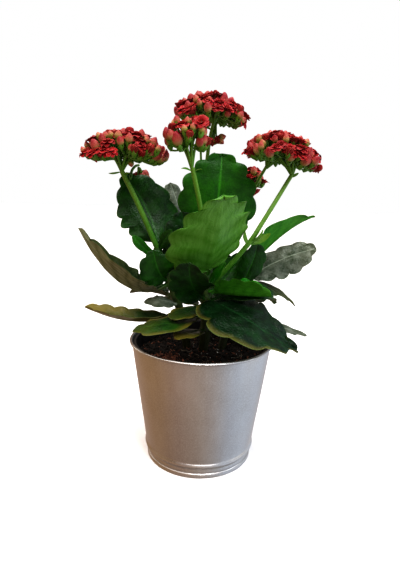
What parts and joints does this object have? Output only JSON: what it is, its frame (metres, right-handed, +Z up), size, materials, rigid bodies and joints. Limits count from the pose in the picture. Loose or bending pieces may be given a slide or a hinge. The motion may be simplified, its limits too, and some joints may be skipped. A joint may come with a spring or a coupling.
{
  "type": "potted kalanchoe",
  "caption": "Flowering succulent houseplant with scalloped leaves and red flower clusters, in a black grower's pot inside a tapered steel cover pot.",
  "frame": {"origin": "on the pot's axis in the plane of its foot, under the middle of the object's box", "axes": "+Z up along the pot's axis; -Y is the front, where the largest leaf looks; +X is to the right seen from the front"},
  "size_m": [0.2045, 0.1463, 0.328],
  "materials": {
    "steel": "zinc-coated sheet steel with a soft satin sheen and fine grain",
    "black_plastic": "thin black moulded plastic, slightly glossy lip",
    "peat": "loose dark peat with brown fibre and white perlite specks",
    "shoot": "smooth green to woody stem",
    "stalk": "smooth bright green flower stalk",
    "leaf": "thick waxy dark green leaf, paler underneath, thin pale margin",
    "flowers": "red double flowers with coral buds and green calyces"
  },
  "bodies": {
    "root": {"flower_head_front": "flowers", "flower_head_left": "flowers", "flower_head_left_low": "flowers", "flower_head_rear": "flowers", "flower_head_right": "flowers", "flower_head_top": "flowers", "leaf_back_grey": "leaf", "leaf_back_left": "leaf", "leaf_back_low": "leaf", "leaf_back_low_left": "leaf", "leaf_back_low_right": "leaf", "leaf_back_middle": "leaf", "leaf_back_right": "leaf", "leaf_back_tall": "leaf", "leaf_front_bright": "leaf", "leaf_front_dark": "leaf", "leaf_front_large": "leaf", "leaf_front_low": "leaf", "leaf_front_lowest": "leaf", "leaf_front_right": "leaf", "leaf_front_short": "leaf", "leaf_left_behind": "leaf", "leaf_left_centre": "leaf", "leaf_left_dark": "leaf", "leaf_left_inner": "leaf", "leaf_left_long": "leaf", "leaf_left_low": "leaf", "leaf_left_small": "leaf", "leaf_left_upright": "leaf", "leaf_right_behind": "leaf", "leaf_right_bright": "leaf", "leaf_right_centre": "leaf", "leaf_right_dark": "leaf", "leaf_right_grey": "leaf", "leaf_right_inner": "leaf", "leaf_right_low": "leaf", "leaf_right_thin": "leaf", "leaflet_centre": "leaf", "leaflet_left_a": "leaf", "leaflet_left_b": "leaf", "nursery_pot": "black_plastic", "pot_base": "steel", "pot_wall": "steel", "potting_soil": "peat", "shoot_back": "shoot", "shoot_centre": "shoot", "shoot_left": "shoot", "shoot_right": "shoot", "stalk_front": "stalk", "stalk_left": "stalk", "stalk_left_low": "stalk", "stalk_rear": "stalk", "stalk_right": "stalk", "stalk_right_back": "stalk", "stalk_top": "stalk"}
  },
  "joints": []
}
